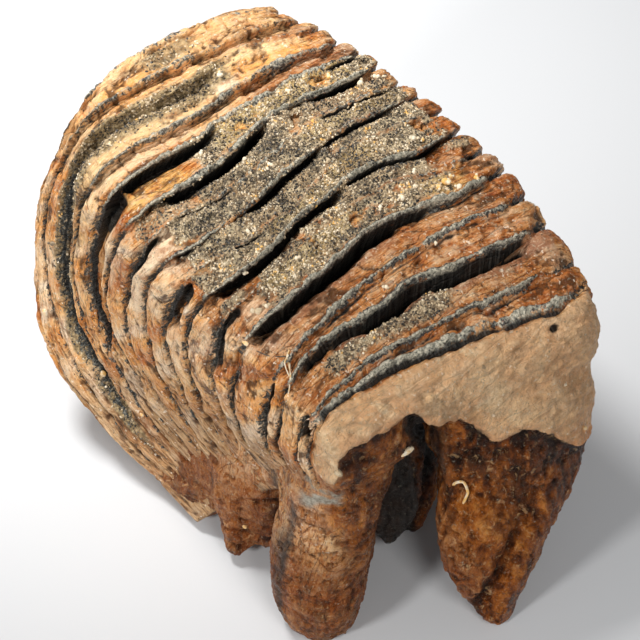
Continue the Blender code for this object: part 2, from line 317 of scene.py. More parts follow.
def crackShape(number, distance, way):  # how deep the open cracks in front of one ridge are, and how far in the painted shade inside them reaches
    drop = np.zeros_like(distance)
    inside = np.zeros_like(distance)
    for ridgeNumber, left, right, depth, width in openCracks:
        if ridgeNumber == number:
            soft = min(0.05, (right - left) * 0.45)
            ends = smooth(left, left + soft, way) * (1 - smooth(right - soft, right, way))
            uneven = 1 + 0.45 * noise(alongRidge(way, number), 7.0, 80 + number, 3, 0.6)
            reach = width * (0.55 + 0.45 * ends) * (0.8 + 0.3 * uneven)
            back = 1 - smooth(reach * 0.35, reach, -distance)
            drop = np.maximum(drop, ends * depth * uneven * back)
            if number != crownDetail["dustyRidge"]:
                # the crack's inner slope is painted near black as shade
                black = ends * np.clip(depth * uneven / 3.0, 0, 1)
                inside = np.maximum(inside, black * (1 - smooth(reach * 0.45, reach * 0.85, -distance)))
    return drop, inside


def faceRise(r):  # the broad run of the worn face from one front ridge to the next
    return np.interp((r / 2) % 1.0, (0, 0.10, 0.28, 0.42, 0.5, 0.58, 0.72, 0.88, 0.955, 0.99, 1.0),
                     (0.5, 0.1, -0.6, 0.0, 0.5, 0.1, -0.8, -1.7, -2.0, 0.4, 0.5))


def ribRise(r):  # the side's rib from one ridge to the next
    return np.interp(r % 1.0, (0, 0.07, 0.12, 0.22, 0.5, 0.78, 0.88, 0.93, 1.0),
                     (-1.25, -1.15, 0.10, 0.42, 0.55, 0.42, 0.10, -1.15, -1.25))


def enamelRidge(number, distance, plate, w, side, buried, middle, fine):  # one crest, and the gap before it with its painted shade
    along = alongRidge(w, number)
    wander = along + np.stack((0 * w, 0.5 * plate, 0 * w), -1)
    bead = noise(wander, crownDetail["beadSize"], 60 + number, 3, 0.7)
    uneven = 0.9 + 0.9 * noise(along, 8.0, 90 + number, 3, 0.6)
    presence = np.clip(ridgeStrength[number] * uneven, 0, 1.3)
    width = crownDetail["crestWidth"] * (0.6 + 0.5 * presence + 0.35 * middle + 0.2 * fine)
    showing = presence * (1 - side) * (1 - 0.85 * buried)
    crest = np.exp(-(distance / np.where(distance < 0, 0.55 * width, 1.5 * width)) ** 2)
    body = np.exp(-np.abs((distance - 0.1) / (1.05 * width)) ** 3) * np.clip(1.2 * presence, 0, 1)
    groove = np.exp(-((distance + 1.5) / 0.55) ** 2)
    drop, inside = crackShape(number, distance, w)
    lip = np.exp(-((distance - 0.1) / 0.9) ** 2) * np.clip(drop.max(0)[None, :] / 6, 0, 1)
    return {
        "rise": showing * (crest * (crownDetail["crestHeight"] + 1.15 * bead) - 0.7 * groove),
        "drop": drop * smooth(0.40, 0.85, -distance),
        "forward": lip * (0.45 + 0.75 * bead) * (1 - side),
        "enamel": body * (1 - 0.75 * buried) * (1 - side),
        "edge": showing * np.exp(-((distance - 0.15) / (0.62 * width)) ** 2),
        # creviceShade: painted shade in the groove in front of the crest and inside the open crack
        "creviceShade": np.maximum(groove * 0.7 * showing, inside * smooth(0.25, 0.55, -distance)),
    }


def crownGrid(ridge, ways):  # points and masks of the crown's skin on a grid of ridge numbers by ways
    lines = ridgeLines(ways)
    numbers = np.arange(len(lines))
    plate = np.array([np.interp(ridge, numbers, lines[:, j]) for j in range(len(ways))]).T
    plate = plate + (np.maximum(ridge - numbers[-1], 0) + np.minimum(ridge, 0))[:, None] * 0.5
    r = np.broadcast_to(ridge[:, None], plate.shape)
    w = np.broadcast_to(ways[None, :], plate.shape)
    bare = crownPoint(plate, w)
    arc = np.cumsum(np.linalg.norm(np.diff(bare, axis=1, prepend=bare[:, :1]), axis=-1), axis=1)
    flow = np.stack((plate * crownDetail["plateStep"], arc, 0 * arc), -1)
    stretch = np.linalg.norm(crownPoint(plate + 0.01, w) - crownPoint(plate - 0.01, w), axis=-1) / 0.02
    stretch = np.where(np.abs(w) > 0.42, crownDetail["plateStep"], np.clip(stretch, 12, 60))

    side = np.where(w < 0, smooth(0.37, 0.50, -w), smooth(0.27, 0.40, w))
    foot = smooth(0.88, 1.0, np.abs(w))
    wobble = [noise(bare, 6.0, seed, 5, 0.65) for seed in (1, 5)]
    coarse = noise(bare, crownDetail["coarse"], 13, 3)
    middle = noise(bare, crownDetail["middle"], 21, 3, 0.6)
    fine = noise(bare, crownDetail["fine"], 9, 3, 0.6)
    fibre = noise(flow * np.array((1.0, 0.16, 1.0)), 1.5, 33, 3, 0.6)
    crack = 1 - smooth(0.0, 0.035, np.abs(noise(bare, 16.0, 47, 3, 0.6)))
    masks = {kind: patchMask(kind, r, w, wobble) for kind in patches}
    sand = masks["sand"] = masks["sand"] * smooth(-0.42, -0.22, noise(bare, 7.0, 17, 4, 0.65))
    buried = np.maximum(sand, masks["dirt"] * 0.8)

    ribSize = crownDetail["ribHeight"] * (0.9 + 0.7 * coarse) * (1 - foot)
    out = faceRise(r) * (1 - side) * (1 - 0.85 * buried) + ribRise(r + 0.04 * middle) * ribSize * side
    forward = np.zeros_like(out)
    found = {key: np.zeros_like(out) for key in ("enamel", "edge", "creviceShade")}
    for number in range(len(lines)):
        distance = (plate - lines[number][None, :]) * stretch
        parts = enamelRidge(number, distance, plate, w, side, buried, middle, fine)
        out = out + parts["rise"] - parts["drop"]
        forward = forward + parts["forward"]
        for key in found:
            found[key] = np.maximum(found[key], parts[key])
        behind = np.exp(-((distance - 1.2) / 2.0) ** 2)
        masks["grey"] = np.maximum(masks["grey"], sand * behind * np.clip(0.6 + 1.2 * middle, 0, 1))
    # on the sides the ridges are dark lines between the ribs, wider at the heel; their near-black middle is
    # painted shade in the groove between the ribs, the band round it the enamel's own dark colour
    gap = np.minimum(r % 1.0, 1 - r % 1.0) * (1 + 0.7 * smooth(14.9, 15.1, r))
    gap = np.where(r > 15.4, 1, gap) + 0.03 * middle
    sideLine = side * (1 - foot) * np.clip(1.1 + 1.0 * coarse + 0.5 * middle, 0, 1)
    creviceShade = np.maximum(found["creviceShade"], 0.9 * np.exp(-(gap / 0.080) ** 2) * sideLine)
    edge = np.clip(found["edge"], 0, 1)

    relief = 1.2 * coarse + 0.75 * middle + 0.45 * fine
    out = out + crownDetail["rough"] * relief + (0.40 + 0.35 * side) * fibre
    out = out - 1.1 * smooth(0.25, 0.60, noise(bare, 4.5, 71, 3)) * (1 - 0.5 * side)      # chipped hollows
    out = out - 0.5 * crack * (1 - sand)
    level = 0.35 + 1.0 * wobble[1] + 0.9 * middle + 0.4 * fine
    out = np.where(creviceShade > 0.6, out, out * (1 - 0.6 * sand) + 0.8 * sand * level)
    out = out * (1 - 0.6 * foot)
    # painted shade on the worn face in front of the first ridge
    creviceShade = np.clip(np.maximum(creviceShade, smooth(-0.01, -0.05, r) * (1 - side)), 0, 1)
    step = np.stack((np.floor(r) * 3.7, arc / 9.0, 0 * arc), -1)
    masks["enamel"] = np.maximum(found["enamel"], np.exp(-(gap / 0.135) ** 2) * sideLine)
    masks["edge"] = edge
    masks["tone"] = 0.5 + 0.5 * noise(step, 1.0, 91, 3, 0.6)
    # pit: painted shade in the pits and cracks of the relief, painted light on its high grains
    masks["pit"] = np.clip(0.5 - 0.8 * (0.5 * middle + 0.5 * fine + 0.8 * fibre) + 0.4 * crack, 0, 1)
    masks["creviceShade"] = creviceShade
    masks["side"] = side
    masks["foot"] = smooth(0.70, 0.94, np.abs(w) + 0.05 * wobble[1])
    masks["loose"] = np.maximum(sand, 0.4 * masks["dirt"]) * (1 - np.clip(2 * creviceShade, 0, 1)) * (1 - 0.8 * edge)
    masks["flow"] = np.stack((plate * crownDetail["plateStep"], arc, out), -1)
    return crownPoint(plate, w, out, forward), masks


def toWorld(points):
    return (points + restShift) * mm


def storeMasks(mesh, masks):  # keeps each mask on the points, for the materials to read
    for key, values in masks.items():
        vector = values.ndim > 1
        layer = mesh.attributes.new(key, "FLOAT_VECTOR" if vector else "FLOAT", "POINT")
        layer.data.foreach_set("vector" if vector else "value", values.astype(np.float32).ravel())


def addObject(name, mesh):
    piece = bpy.data.objects.new(name, mesh)
    bpy.context.scene.collection.objects.link(piece)
    return piece


def addPiece(name, points, faces, masks=None):
    mesh = bpy.data.meshes.new(name)
    mesh.from_pydata(toWorld(points).tolist(), [], faces)
    storeMasks(mesh, masks or {})
    mesh.update()
    mesh.shade_smooth()
    return addObject(name, mesh)


def faceOutwards(mesh):
    bm = bmesh.new()
    bm.from_mesh(mesh)
    bmesh.ops.recalc_face_normals(bm, faces=bm.faces)
    bm.to_mesh(mesh)
    bm.free()


def closeLoft(name, points, masks=None):  # a closed mesh through rings of equal length
    rings, sides = points.shape[:2]
    flat = np.concatenate((points.reshape(-1, 3), [points[0].mean(0), points[-1].mean(0)]))
    first, last = rings * sides, rings * sides + 1
    turns = [(j, (j + 1) % sides) for j in range(sides)]
    starts = range(0, (rings - 1) * sides, sides)
    faces = [(i + j, i + sides + j, i + sides + k, i + k) for i in starts for j, k in turns]
    end = (rings - 1) * sides
    for j, k in turns:
        faces += [(first, j, k), (last, end + k, end + j)]
    return addPiece(name, flat, faces, masks)


# Ring places within one step between ridges, crowded where the enamel and the cracks are.
slabRings = np.array((
    0.0, 0.03, 0.06, 0.09, 0.125, 0.165, 0.21, 0.26, 0.32, 0.38, 0.44, 0.50, 0.56, 0.61,
    0.66, 0.70, 0.74, 0.775, 0.805, 0.83, 0.855, 0.875, 0.892, 0.908, 0.924, 0.94, 0.957, 0.978,
))


def crownWays(quick):  # ways round a plate, about half a millimetre apart on the worn face and the left side
    stops = ((-1.0, 40), (-0.85, 90), (-0.55, 80), (-0.42, 110), (0.0, 110), (0.42, 50), (0.6, 60), (1.0, 0))
    ways = []
    for (start, count), (end, _) in zip(stops, stops[1:]):
        if quick:
            count = count // 2
        ways.extend(start + (end - start) * i / count for i in range(count))
    return np.array(ways + [1.0])


def makePlate(name, ridge, ways):
    point, masks = crownGrid(ridge, ways)
    rings, across = point.shape[:2]
    # the hidden foot: a few points that close each ring in an arch under the crown
    under = crownDetail["underPoints"]
    sides = across + under
    left, right = point[:, 0], point[:, -1]
    shares = [i / (under + 1) for i in range(1, under + 1)]
    rise = [np.array((0, 0, 3 + 20 * math.sin(math.pi * t))) for t in shares]
    arch = [right + (left - right) * t + up for t, up in zip(shares, rise)]
    point = np.concatenate((point, np.stack(arch, 1)), 1)
    filled = {}
    for key, values in masks.items():
        pad = np.repeat(values[:, -1:], under, axis=1)
        if key == "creviceShade":
            pad[0] = 1.0      # the first ring's foot shows as shade behind the arch
        values = np.concatenate((values, pad), 1).reshape(rings * sides, -1)
        filled[key] = np.concatenate((values, values[[across + 1, -1]])).squeeze()
    piece = closeLoft(name, point, filled)
    mesh = piece.data
    faceOutwards(mesh)
    # a crisp edge round both ends
    ends = np.zeros(len(mesh.edges) * 2, dtype=np.int32)
    mesh.edges.foreach_get("vertices", ends)
    ends = ends.reshape(-1, 2)
    sharp = mesh.attributes.new("sharp_edge", "BOOLEAN", "EDGE")
    onEnd = (ends < sides).all(1) | (ends // sides == rings - 1).all(1)
    sharp.data.foreach_set("value", onEnd.tolist())
    return piece


def makeCrown():
    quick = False
    ways = crownWays(quick)
    step = slabRings[::2] if quick else slabRings
    pieces = []
    heel = len(ridgePlaces) - 1
    whole = np.concatenate([step + number for number in range(heel + 1)])
    heelEnd = heel + np.sin(np.linspace(0, math.pi / 2, 26))[1:]      # crowded where the heel turns under
    start = crownDetail["frontRidge"]
    for number in range(crownDetail["plates"]):
        end = 2 * number + crownDetail["plateEnd"]
        inside = whole[(whole > start + 0.005) & (whole < min(end - 0.005, heel))]
        final = heelEnd if number == crownDetail["plates"] - 1 else [end]
        pieces.append(makePlate(f"plate{number + 1}", np.concatenate(([start], inside, final)), ways))
        start = end
    return pieces


# Rings down each root: x, y, z, half length, half width.
roots = {
    "frontRight": ((-10, 14, -16, 16, 24), (-6, 18, -28, 20, 26), (-2, 19, -40, 21, 26), (1, 19, -50, 20, 27),
                   (5, 18, -58, 16, 26), (8, 12, -72, 16, 24), (13, 4, -87, 12, 18), (17, -1, -96, 8, 11),
                   (21, -4, -105, 4, 5)),
    "frontLeft": ((-15, -28, -32, 17, 13), (-15, -32, -50, 16, 14), (-14, -37, -74, 15, 14),
                  (-12, -41, -95, 13, 13), (-12, -42, -106, 9, 10)),
    "flank": ((-10, -24, -22, 12, 10), (-9, -26, -34, 10, 9), (-9, -29, -46, 9, 8), (-10, -32, -58, 9, 6.5),
              (-11, -35, -70, 8, 5)),
    "middle": ((-28, -6.5, -44, 14, 18), (-24, -6.5, -62, 12, 17), (-18, -8, -84, 9, 13),
               (-15, -9, -101, 4, 6)),
    "left1": ((-42, -34, -62, 9, 9), (-41, -38, -82, 8, 7), (-40, -41, -102, 6, 5)),
    "left2": ((-50, -37, -72, 9, 9), (-47, -44, -90, 7, 7), (-43, -49, -104, 4, 4)),
    "right1": ((-30, 30, -50, 12, 12), (-28, 33, -76, 10, 10), (-27, 34, -98, 6, 6)),
    "right2": ((-48, 32, -68, 12, 11), (-46, 35, -90, 9, 9), (-44, 36, -105, 5, 5)),
    "heelLeft": ((-84, -26, -84, 15, 15), (-86, -26, -98, 13, 12), (-87, -26, -112, 11, 10)),
    "heelRight": ((-84, 26, -84, 15, 15), (-86, 26, -98, 13, 12), (-87, 26, -112, 11, 10)),
}
rootBuild = {
    "sides": 48,
    "ringStep": 2.2,
    "firstVoxel": 1.4,        # millimetres between points of the rough skin
    "voxel": 0.80,            # millimetres between points of the finished skin
    "lipDepth": 1.0,          # how far the dark band under the front lip is set back, as a share
    "rough": 1.0,
    "cutX": -42,              # the skin is cut here into a front and a back piece
    "underSides": 14,         # steps across the underside of the cement
}

# The front lip: across (y) and its height (z). Under it the roots are set back and dark.
frontLip = (
    (-60, -46), (-50, -42), (-46, -36), (-44, -27), (-42, -17), (-39, -14), (-33, -14.5), (-28, -14),
    (-24, -13.5), (-20, -13.5), (-17.5, -17), (-15, -21), (-12, -22.5), (-8, -24), (-4, -28), (-1, -33),
    (2, -36.5), (6, -36), (10, -35), (14, -37), (18, -42), (23, -49), (30, -55), (40, -61), (60, -66),
)
# How far the skin under the lip is set back: across (y) and depth.
setBack = (
    (-60, 1.0), (-46, 1.5), (-41, 3.0), (-33, 3.5), (-24, 4.0), (-19, 6.5), (-15, 10.0), (-11, 9.0),
    (-7, 5.0), (0, 4.5), (6, 5.0), (12, 4.0), (20, 3.0), (30, 2.0), (60, 1.5),
)
# Small holes in the skin: place, radius, depth.
skinHoles = (((-10.5, -44.5, -14.5), 2.0, 3.5), ((8, 26, -12), 1.3, 1.0), ((-6, -43.5, 3), 1.0, 0.8))


def rootPiece(name, table):
    table = np.array(table, float)
    depth = table[0, 2] - table[:, 2]
    steps = max(round(depth[-1] / rootBuild["ringStep"]), 6)
    at = np.linspace(0, depth[-1], steps + 1)
    columns = [curve(depth, table[:, c], at) for c in range(5)]
    angle = np.linspace(0, 2 * math.pi, rootBuild["sides"], endpoint=False)
    x = columns[0][:, None] + columns[3][:, None] * np.cos(angle)
    y = columns[1][:, None] + columns[4][:, None] * np.sin(angle)
    z = np.repeat(columns[2][:, None], len(angle), 1)
    points = np.stack((x, y, z), -1)
    return closeLoft(name, points + 1.6 * lump(points))


def coreLoft():  # the cement under the plates: bare in front of the first ridge and round the foot
    ways = np.linspace(-1, 1, 161)
    first = ridgeLines(ways)[0]
    last = crownShape["lastPlate"]
    ahead = -0.5 * np.sin(np.linspace(math.pi / 2, 0, 16))
    behind = last + 0.5 * np.sin(np.linspace(0, math.pi / 2, 12))[1:]
    plates = np.concatenate((ahead, np.linspace(0.03, last, 150), behind))
    p, w = np.meshgrid(plates, ways, indexing="ij")
    ragged = 0.035 * noise(crownPoint(p, w), 7.0, 301, 3, 0.6)
    bare = 1 - smooth(-0.02, 0.10, p - first[None, :])
    foot = smooth(0.88, 0.97, np.abs(w) + ragged)
    hidden = 10.0 * (1 - smooth(0.40, 0.62, np.abs(w))) + 3.5
    out = -hidden * (1 - np.maximum(bare, foot)) - 0.5 * bare + 0.6 * foot * (1 - bare)
    point = crownPoint(p, w, out)
    # the underside, a shallow arch from the right foot to the left
    turn = np.pi * np.arange(1, rootBuild["underSides"]) / rootBuild["underSides"]
    drop = curve((0, 2, 4, 6, 8), (-6, -2, 5, 8, 4), np.clip(plates, 0, last))
    right, left = point[:, -1], point[:, 0]
    middle, half = (left + right) / 2, (right - left) / 2
    under = middle[:, None] + half[:, None] * np.cos(turn)[None, :, None]
    under[..., 2] = under[..., 2] - drop[:, None] * np.sin(turn)
    return closeLoft("core", np.concatenate((point, under), 1))


def asMesh(piece):  # the piece's modifiers, applied
    mesh = bpy.data.meshes.new_from_object(piece.evaluated_get(bpy.context.evaluated_depsgraph_get()))
    piece.modifiers.clear()
    piece.data = mesh


def remeshed(piece, voxel, rounds):
    remesh = piece.modifiers.new("Remesh", "REMESH")
    remesh.mode = "VOXEL"
    remesh.voxel_size = voxel * mm
    soften = piece.modifiers.new("Smooth", "SMOOTH")
    soften.iterations = rounds
    soften.factor = 0.5
    asMesh(piece)


def keepInside(piece, margin=2e-5):  # no point leaves the solid's box
    place = np.empty(len(piece.data.vertices) * 3, np.float32)
    piece.data.vertices.foreach_get("co", place)
    low, high = np.array(cadBounds[0]) + margin, np.array(cadBounds[1]) - margin
    low[2] = cadBounds[0][2]
    place = np.clip(place.reshape(-1, 3), low, high)
    piece.data.vertices.foreach_set("co", place.astype(np.float32).ravel())
    piece.data.update()


def readSkin(piece):  # points in millimetres in the tooth's frame, and their normals
    mesh = piece.data
    place = np.empty(len(mesh.vertices) * 3, np.float32)
    facing = np.empty_like(place)
    mesh.vertices.foreach_get("co", place)
    mesh.vertices.foreach_get("normal", facing)
    return place.reshape(-1, 3).astype(float) / mm - restShift, facing.reshape(-1, 3).astype(float)


def writeSkin(piece, points):
    points = points.copy()
    points[:, 2] = np.maximum(points[:, 2], -restShift[2])
    piece.data.vertices.foreach_set("co", toWorld(points).astype(np.float32).ravel())
    piece.data.update()


def lipDistance(points):  # how far below the front lip a point is, in millimetres
    _, y, z = points.T
    edge = curve(*zip(*frontLip), y) + 0.9 * noise(points * np.array((0.2, 1, 0.2)), 3.5, 310, 3, 0.6)
    return edge - z


def fingerShape(points):  # rise and fall across the tip of the right root
    along = points[:, 1] - 0.45 * (points[:, 2] + 88)
    rise = np.interp(along, (-16, -10, -5, -1, 4, 8, 14), (1.2, 0.8, -3.4, 0.6, 2.0, 1.0, 0))
    return rise * smooth(-56, -76, points[:, 2]) * smooth(-16, -8, points[:, 1])


def longGrooves(points):  # grooves that run down the roots
    return noise(points * np.array((1.0, 1.0, 0.18)), 7.0, 329, 2)


def carveBase(points, facing):  # the large forms: front lip, hollow between the roots, worn root ends
    x, y, z = points.T
    below = lipDistance(points)
    front = smooth(-0.15, 0.45, facing[:, 0]) * smooth(-19, -12, x)
    inHollow = smooth(-22, -18, y) * smooth(-4, -7, y) * smooth(0, 2, below) * smooth(-19, -12, x)
    front = np.maximum(front, inHollow * smooth(-0.95, -0.5, facing[:, 0]))
    depth = curve(*zip(*setBack), y) * rootBuild["lipDepth"]
    profile = np.interp(below, (-14, -6, -1.5, 0.0, 0.7, 2.5, 7, 16, 34),
                        (0, 0.10, 0.30, 0.26, -0.35, -0.85, -1.0, -0.55, 0))
    moved = points.copy()
    moved[:, 0] += np.where(profile > 0, 4.0, depth) * profile * front
    swell = 1.1 * noise(points, 17.0, 320, 2) + 0.9 * noise(points * np.array((1, 1, 0.6)), 8.0, 323, 2)
    low = smooth(-30, -50, z)
    ring = noise(points * np.array((0.35, 0.35, 1.5)), 4.5, 326, 2) * low * smooth(-14, -24, y)
    moved += facing * (swell * (0.4 + 0.6 * low) + 0.4 * ring)[:, None]
    groove = longGrooves(points) * low * smooth(-12, -4, y) * smooth(-40, -20, x)
    finger = fingerShape(points) * front * smooth(0.0, 0.5, facing[:, 0])
    moved += facing * (1.3 * groove + finger)[:, None]
    return moved


def finishBase(points, facing):  # the fine relief and where each finish lies
    x, y, z = points.T
    below = lipDistance(points)
    front = smooth(-0.35, 0.2, facing[:, 0]) * smooth(-26, -16, x)
    rightSide = smooth(-14, -6, y) * smooth(-26, -14, x + 0.3 * np.maximum(y, 0))
    leftSide = smooth(-20, -28, y)
    low = smooth(-34, -52, z)
    under = smooth(-0.6, 1.2, below)
    above = front * (1 - under) * smooth(-60, -40, z)
    wobble = noise(points, 9.0, 351, 4, 0.6)
    coarse = noise(points, 7.0, 353, 3, 0.6)
    middle = noise(points, 2.6, 357, 3, 0.6)
    fine = noise(points, 1.2, 361, 2, 0.6)
    groove = longGrooves(points)
    bent = points + 3.0 * noise(points, 14.0, 391, 2)[:, None]
    wrinkle = noise(bent * np.array((0.4, 0.4, 1.5)), 3.0, 365, 3, 0.6) * leftSide * low
    down = noise(bent * np.array((1.2, 1.2, 0.22)), 2.4, 369, 3, 0.6)
    down = down * np.maximum(rightSide, 1 - leftSide) * under
    laminae = noise(points * np.array((0.7, 0.35, 1.4)), 2.6, 373, 3, 0.6) * above
    chips = smooth(0.22, 0.50, noise(points, 4.0, 377, 3, 0.6))
    crack = 1 - smooth(0.0, 0.03, np.abs(noise(points * np.array((1, 0.7, 1.2)), 15.0, 379, 3, 0.6)))
    hole = np.zeros(len(points))
    for place, size, depth in skinHoles:
        near = np.linalg.norm((points - place) * np.array((1, 0.8, 1)), axis=1)
        hole = np.maximum(hole, depth * (1 - smooth(size * 0.7, size * 1.25, near + 0.5 * middle)))
    relief = (0.40 + 0.5 * above) * coarse + (0.45 - 0.15 * low) * middle + 0.35 * fine
    relief = (relief + 0.7 * wrinkle + 0.9 * down + 0.5 * laminae) * rootBuild["rough"]
    relief = relief - 0.5 * chips - 0.45 * crack - hole

    # pit: painted shade in the pits, cracks, wrinkles and flakes of the relief, painted light where the
    # relief is high
    pit = 0.5 - 0.9 * (0.5 * middle + 0.4 * fine + 0.6 * wrinkle + 0.5 * down + 0.5 * laminae) + 0.4 * crack
    # painted shade just under the front lip
    pit = pit + 0.55 * under * np.exp(-np.maximum(below, 0) / 6.0) * front * smooth(-46, -38, y)
    leftWet = smooth(-46, -34, y + 3 * wobble) * smooth(-86, -58, z + 8 * wobble)
    wet = under * (0.95 + 0.4 * wobble) * np.maximum(rightSide, leftWet)
    wet = wet + 0.35 * smooth(-66, -50, z) * under * leftSide
    between = smooth(-21, -17, y + 2 * wobble) * smooth(-4, -8, y + 2 * wobble)
    behind = smooth(-48, -52, z) * smooth(-12, -15, x)
    # hollowShade: the hollow between and behind the roots, which is painted near black as shade
    hollowShade = smooth(-0.5, 0.1, facing[:, 0]) * smooth(0.6, 3, below) * smooth(4, 0, x) * smooth(-34, -28, x)
    chalk = smooth(-0.1, 0.25, noise(points * np.array((0.7, 0.5, 1.3)), 5.0, 383, 3, 0.6))
    chalk = chalk * smooth(-38, -41, y) * smooth(-24, -28, z) * smooth(-50, -46, z)
    tone = 0.5 + (0.5 - 0.3 * under) * noise(points, 9.0, 387, 3, 0.6)
    # painted shade just under the front lip
    tone = tone - 0.55 * under * front * np.exp(-np.maximum(below - 1, 0) / 7.0) * smooth(-8, -2, y)
    # lighter on the root's raised ridges and darker in its grooves, following the relief: painted light and
    # shade
    tone = tone + under * (0.35 * down + 0.35 * groove + 0.07 * fingerShape(points) + 0.25 * middle)
    rim = front * smooth(-46, -40, y) * smooth(-4.5, -0.5, below) * (1 - under)
    masks = {
        "pit": np.clip(pit, 0, 1),
        # creviceShade: painted shade in the small holes
        "creviceShade": np.clip(hole / 1.5, 0, 1),
        "wet": np.clip(wet, 0, 1) * smooth(-30, -18, x + 0.15 * np.maximum(y, 0)),
        "hollowShade": hollowShade * np.maximum(between, behind),
        "band": above,
        "rim": rim * np.clip(0.7 + 0.9 * middle, 0, 1),
        "warm": above * smooth(10, 24, y + 7 * wobble),
        "low": smooth(-55, -80, z + 6 * wobble),
        "chalk": chalk * smooth(-16, -10, x),
        "tone": np.clip(tone, 0, 1),
        "flow": points * np.array((1.0, 0.6, 0.6)),
    }
    return points + facing * relief[:, None], masks


def halve(piece, name, place, facing):  # cuts a closed piece by a plane into two closed pieces
    other = addObject(name, piece.data.copy())
    for half, sign in ((piece, 1), (other, -1)):
        bm = bmesh.new()
        bm.from_mesh(half.data)
        everything = bm.verts[:] + bm.edges[:] + bm.faces[:]
        normal = [sign * f for f in facing]
        bmesh.ops.bisect_plane(bm, geom=everything, dist=1e-7, plane_co=toWorld(np.array(place)).tolist(),
                               plane_no=normal, clear_outer=True)
        rim = [e for e in bm.edges if e.is_boundary]
        for edge in rim:
            edge.smooth = False
        bmesh.ops.holes_fill(bm, edges=rim, sides=0)
        bmesh.ops.triangulate(bm, faces=[f for f in bm.faces if len(f.verts) > 4])
        bm.to_mesh(half.data)
        bm.free()
    return other


def makeBase():
    parts = [coreLoft()] + [rootPiece(name, table) for name, table in roots.items()]
    base = parts[0]
    bpy.ops.object.select_all(action="DESELECT")
    for part in parts:
        faceOutwards(part.data)
        part.select_set(True)
    bpy.context.view_layer.objects.active = base
    bpy.ops.object.join()
    coarser = 1.0
    remeshed(base, rootBuild["firstVoxel"], 5)
    writeSkin(base, carveBase(*readSkin(base)))
    remeshed(base, rootBuild["voxel"] * coarser, 2)
    points, masks = finishBase(*readSkin(base))
    storeMasks(base.data, masks)
    writeSkin(base, points)
    base.name = "roots_front"
    base.data.shade_smooth()
    return [base, halve(base, "roots_back", (rootBuild["cutX"], 0, 0), (-1, 0, 0))]


class Recipe:  # short words for building one material's nodes; colour is what has been laid so far
    def __init__(self, name):
        self.material = bpy.data.materials.new(name)
        self.material.use_nodes = True
        self.tree = self.material.node_tree
        self.shader = self.tree.nodes["Principled BSDF"]
        self.place = self.tree.nodes.new("ShaderNodeTexCoord").outputs["Object"]
        self.colour = None
        self.masks = {}

    def node(self, kind, vector=None, **values):
        node = self.tree.nodes.new(kind)
        for key, value in values.items():
            node.inputs[key].default_value = value
        if vector:
            self.tree.links.new(vector, node.inputs["Vector"])
        return node

    def put(self, value, socket):  # a number, a colour or another node's output
        if isinstance(value, tuple):
            socket.default_value = (*value, 1)
        elif isinstance(value, (int, float)):
            socket.default_value = (value, value, value, 1) if socket.type == "RGBA" else value
        else:
            self.tree.links.new(value, socket)

    def mask(self, name, output="Fac"):
        if name not in self.masks:
            self.masks[name] = self.tree.nodes.new("ShaderNodeAttribute")
            self.masks[name].attribute_name = name
        return self.masks[name].outputs[output]

    def stretched(self, vector, scale):
        return self.node("ShaderNodeMapping", vector, Scale=scale).outputs["Vector"]

    def noise(self, scale, detail=3.0, rough=0.55, warp=0.0, vector=None, output="Fac"):
        values = {"Scale": scale, "Detail": detail, "Roughness": rough, "Distortion": warp}
        return self.node("ShaderNodeTexNoise", vector or self.place, **values).outputs[output]

    def cells(self, scale, vector=None, output="Distance", feature="F1"):
        node = self.node("ShaderNodeTexVoronoi", vector or self.place)
        node.feature = feature
        node.inputs["Scale"].default_value = scale
        return node.outputs[output]

    def ramp(self, value, *stops):
        node = self.tree.nodes.new("ShaderNodeValToRGB")
        while len(node.color_ramp.elements) < len(stops):
            node.color_ramp.elements.new(0.5)
        for element, (at, colour) in zip(node.color_ramp.elements, stops):
            element.position = at
            element.color = (*colour, 1)
        self.put(value, node.inputs["Fac"])
        return node.outputs["Color"]

    def range(self, value, low, high, toLow=0.0, toHigh=1.0):
        node = self.node("ShaderNodeMapRange")
        ends = {"From Min": low, "From Max": high, "To Min": toLow, "To Max": toHigh}
        for key, number in (*ends.items(), ("Value", value)):
            self.put(number, node.inputs[key])
        return node.outputs["Result"]

    def math(self, operation, a, b, clamp=False):
        node = self.tree.nodes.new("ShaderNodeMath")
        node.operation = operation
        node.use_clamp = clamp
        self.put(a, node.inputs[0])
        self.put(b, node.inputs[1])
        return node.outputs[0]

    def times(self, a, b):
        return self.math("MULTIPLY", a, b)

    def plus(self, a, b, clamp=False):
        return self.math("ADD", a, b, clamp)

    def mix(self, share, a, b, blend="MIX"):
        node = self.tree.nodes.new("ShaderNodeMix")
        node.data_type = "RGBA"
        node.blend_type = blend
        for value, socket in ((share, node.inputs[0]), (a, node.inputs[6]), (b, node.inputs[7])):
            self.put(value, socket)
        return node.outputs[2]

    def lay(self, share, coat, blend="MIX"):  # lays a coat over the colour so far
        self.colour = self.mix(share, self.colour, coat, blend)

    def tint(self, value, low, high, share, coat):  # lays a coat where a value runs from low to high
        self.lay(self.range(value, low, high, 0, share), coat)

    def finish(self, roughness, height, strength, depth):
        bump = self.node("ShaderNodeBump", Strength=strength, Distance=depth * mm)
        self.put(height, bump.inputs["Height"])
        self.put(self.colour, self.shader.inputs["Base Color"])
        self.put(roughness, self.shader.inputs["Roughness"])
        self.put(bump.outputs["Normal"], self.shader.inputs["Normal"])
        return self.material


patchTints = {
    "golden": (0.90, 0.62, 0.31), "orange": (0.88, 0.40, 0.10), "rust": (0.36, 0.11, 0.030),
    "mauve": (0.36, 0.165, 0.095), "pale": (1.0, 0.80, 0.56), "ochre": (0.85, 0.52, 0.17),
}


